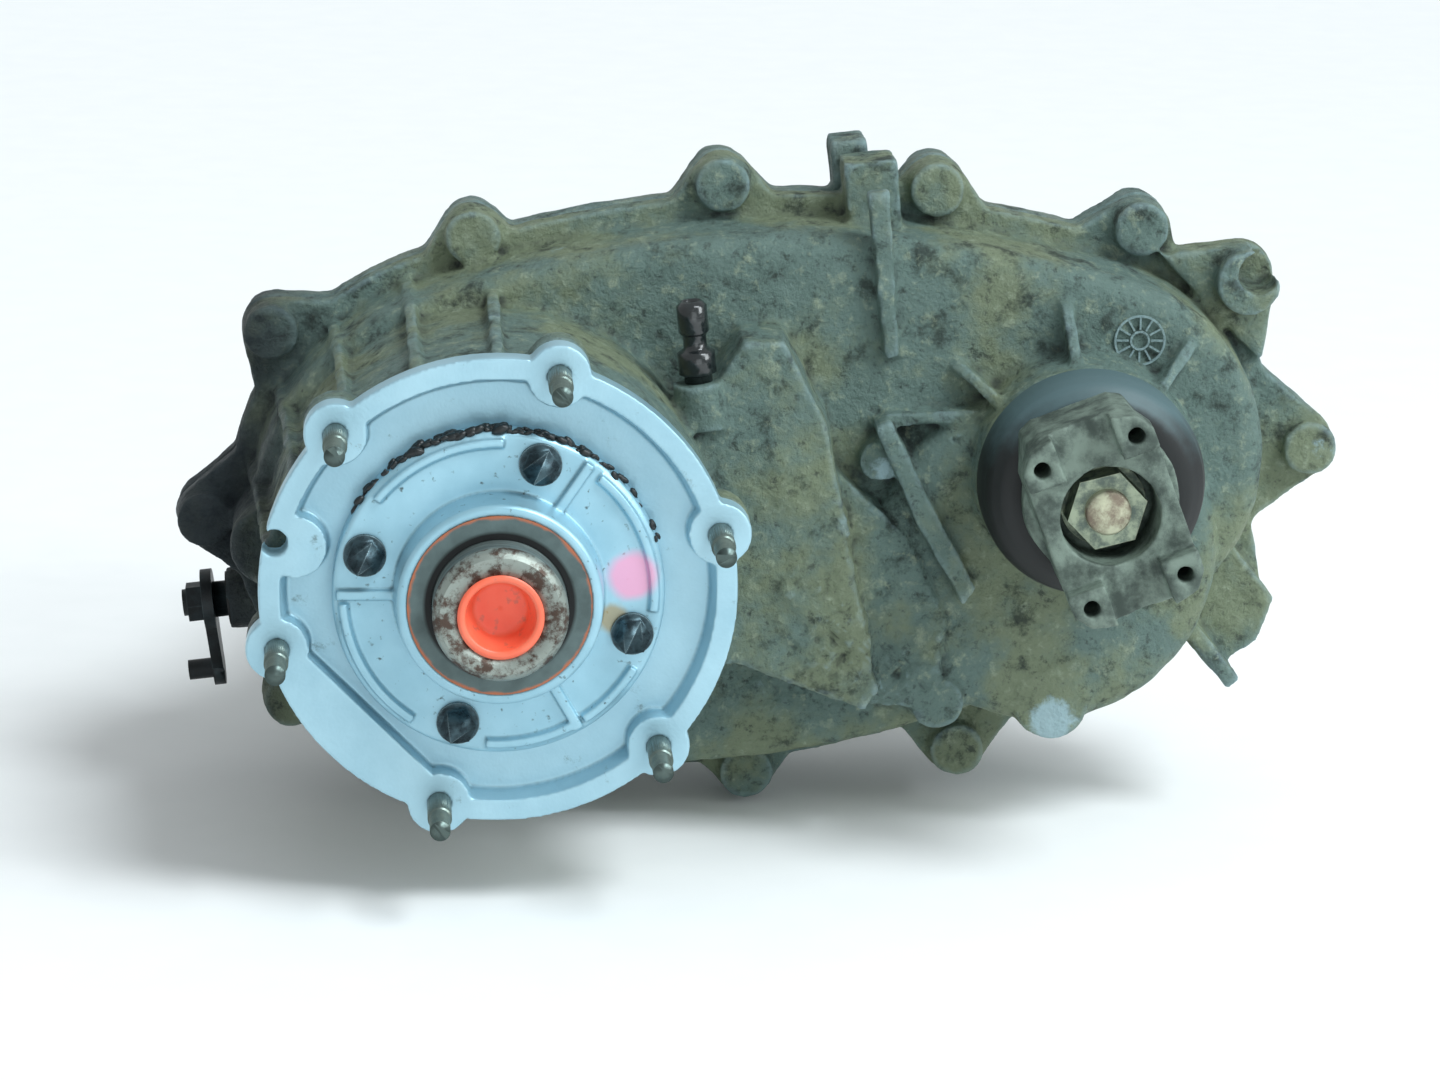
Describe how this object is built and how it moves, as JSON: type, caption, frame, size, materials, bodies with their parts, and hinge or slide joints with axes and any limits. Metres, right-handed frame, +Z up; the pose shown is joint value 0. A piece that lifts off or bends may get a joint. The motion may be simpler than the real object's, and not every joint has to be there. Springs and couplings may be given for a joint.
{
  "type": "transfer case",
  "caption": "Chain-drive transfer case: round studded input flange, planetary range gear, mode sleeve, silent chain to a front strap yoke and rear slip-yoke housing.",
  "frame": {"origin": "centre of the input flange, at the face of its outer rim", "axes": "+X right towards the front output as seen from the front, +Y rearwards along the shafts, +Z up; the line between the shafts is tilted 6.4 degrees"},
  "size_m": [0.51, 0.4435, 0.2963],
  "materials": {
    "cast_aluminium": "sand-cast, weathered and oily",
    "clean_cast_aluminium": "cast, matte, cleaner",
    "machined_steel": "ground and hobbed, oiled",
    "bearing_steel": "ground, bright",
    "forged_steel": "forged, dull, light rust",
    "slinger_steel": "pressed sheet, dark, oily",
    "dark_fastener": "black phosphate",
    "zinc_steel": "yellow zinc",
    "seal_rubber": "moulded",
    "plug_paint": "orange-red, scuffed",
    "bush_bronze": "bored, satin",
    "black_plastic": "moulded, oily",
    "pump_aluminium": "die-cast, bare"
  },
  "bodies": {
    "case": {"front_case": "cast_aluminium", "rear_case": "cast_aluminium", "extension_housing": "cast_aluminium", "input_retainer": "clean_cast_aluminium", "retainer_bolts": "dark_fastener", "input_studs": "zinc_steel", "case_bolts": "dark_fastener", "case_dowels": "bearing_steel", "extension_bolts": "dark_fastener", "fill_and_drain_plugs": "dark_fastener", "breather": "black_plastic", "input_bearing_outer_race": "bearing_steel", "output_bearing_outer_race": "bearing_steel", "rear_bearing_outer_race": "bearing_steel", "input_seal": "seal_rubber", "output_seal": "seal_rubber", "rear_seal": "seal_rubber", "slip_yoke_bush": "bush_bronze", "shaft_end_needles": "bearing_steel", "annulus_gear": "machined_steel", "oil_pump_housing": "pump_aluminium", "oil_pickup": "pump_aluminium", "sump_magnet": "machined_steel", "speed_sensor": "black_plastic", "shift_rail": "machined_steel", "detent_plug": "dark_fastener", "selector_seal": "seal_rubber", "drive_chain": "machined_steel"},
    "input": {"input_shaft": "machined_steel", "input_bearing_inner_race": "bearing_steel", "input_bore_plug": "plug_paint"},
    "carrier": {"planet_carrier": "machined_steel", "planet_pins": "machined_steel"},
    "planet_1": {"planet_gear_1": "machined_steel"},
    "planet_2": {"planet_gear_2": "machined_steel"},
    "planet_3": {"planet_gear_3": "machined_steel"},
    "mainshaft": {"mainshaft": "machined_steel", "mode_hub": "machined_steel", "rear_bearing_inner_race": "bearing_steel", "oil_pump_rotor": "machined_steel", "speed_tone_ring": "machined_steel"},
    "range_hub": {"range_hub": "machined_steel"},
    "mode_sleeve": {"mode_sleeve": "machined_steel"},
    "drive_sprocket": {"drive_sprocket": "machined_steel"},
    "front_output": {"front_output_shaft": "machined_steel", "driven_sprocket": "machined_steel", "output_yoke": "forged_steel", "yoke_nut": "zinc_steel", "yoke_washer": "zinc_steel", "dust_slinger": "slinger_steel", "output_bearing_inner_race": "bearing_steel"},
    "range_fork": {"range_fork": "forged_steel"},
    "mode_fork": {"mode_fork": "forged_steel"},
    "selector": {"selector_shaft": "machined_steel", "sector_plate": "forged_steel", "selector_lever": "slinger_steel", "selector_nut": "zinc_steel"}
  },
  "joints": [
    {"name": "input_spin", "type": "hinge", "parent": "case", "child": "input", "pos_m": [0, 0, 0], "axis": [0, 1, 0], "continuous": true},
    {"name": "mainshaft_spin", "type": "hinge", "parent": "case", "child": "mainshaft", "pos_m": [0, 0, 0], "axis": [0, 1, 0], "continuous": true},
    {"name": "sprocket_spin", "type": "hinge", "parent": "case", "child": "drive_sprocket", "pos_m": [0, 0, 0], "axis": [0, 1, 0], "continuous": true},
    {"name": "front_output_spin", "type": "hinge", "parent": "case", "child": "front_output", "pos_m": [0.25242, 0, 0.02831], "axis": [0, 1, 0], "continuous": true, "deforming": ["drive_chain"]},
    {"name": "carrier_spin", "type": "hinge", "parent": "case", "child": "carrier", "pos_m": [0, 0, 0], "axis": [0, 1, 0], "continuous": true},
    {"name": "planet_1_spin", "type": "hinge", "parent": "carrier", "child": "planet_1", "pos_m": [0.06037, 0, 0.00677], "axis": [0, 1, 0], "continuous": true},
    {"name": "planet_2_spin", "type": "hinge", "parent": "carrier", "child": "planet_2", "pos_m": [-0.03605, 0, 0.0489], "axis": [0, 1, 0], "continuous": true},
    {"name": "planet_3_spin", "type": "hinge", "parent": "carrier", "child": "planet_3", "pos_m": [-0.02432, 0, -0.05567], "axis": [0, 1, 0], "continuous": true},
    {"name": "selector_turn", "type": "hinge", "parent": "case", "child": "selector", "pos_m": [-0.06748, 0.187, -0.04883], "axis": [-0.9938, 0, -0.111], "range_deg": [-0.2, 16.3]},
    {"name": "range_fork_slide", "type": "slide", "parent": "case", "child": "range_fork", "axis": [0, 1, 0], "range_m": [0, 0.01096]},
    {"name": "range_hub_slide", "type": "slide", "parent": "mainshaft", "child": "range_hub", "axis": [0, 1, 0], "range_m": [-0.0002, 0.0112]},
    {"name": "mode_shift", "type": "slide", "parent": "case", "child": "mode_fork", "axis": [0, 1, 0], "range_m": [-0.01, 0]},
    {"name": "mode_sleeve_slide", "type": "slide", "parent": "mainshaft", "child": "mode_sleeve", "axis": [0, 1, 0], "range_m": [-0.0102, 0.0002]}
  ],
  "couplings": [
    {"joint": "mainshaft_spin", "follows": "input_spin", "ratio": 1},
    {"joint": "sprocket_spin", "follows": "input_spin", "ratio": 1},
    {"joint": "front_output_spin", "follows": "input_spin", "ratio": 1},
    {"joint": "carrier_spin", "follows": "input_spin", "ratio": 0.36667},
    {"joint": "planet_1_spin", "follows": "input_spin", "ratio": -1.7417},
    {"joint": "planet_2_spin", "follows": "input_spin", "ratio": -1.7417},
    {"joint": "planet_3_spin", "follows": "input_spin", "ratio": -1.7417},
    {"joint": "selector_turn", "follows": "range_fork_slide", "rad_per_m": 25.641},
    {"joint": "range_hub_slide", "follows": "range_fork_slide", "ratio": 1},
    {"joint": "mode_sleeve_slide", "follows": "mode_shift", "ratio": 1}
  ]
}
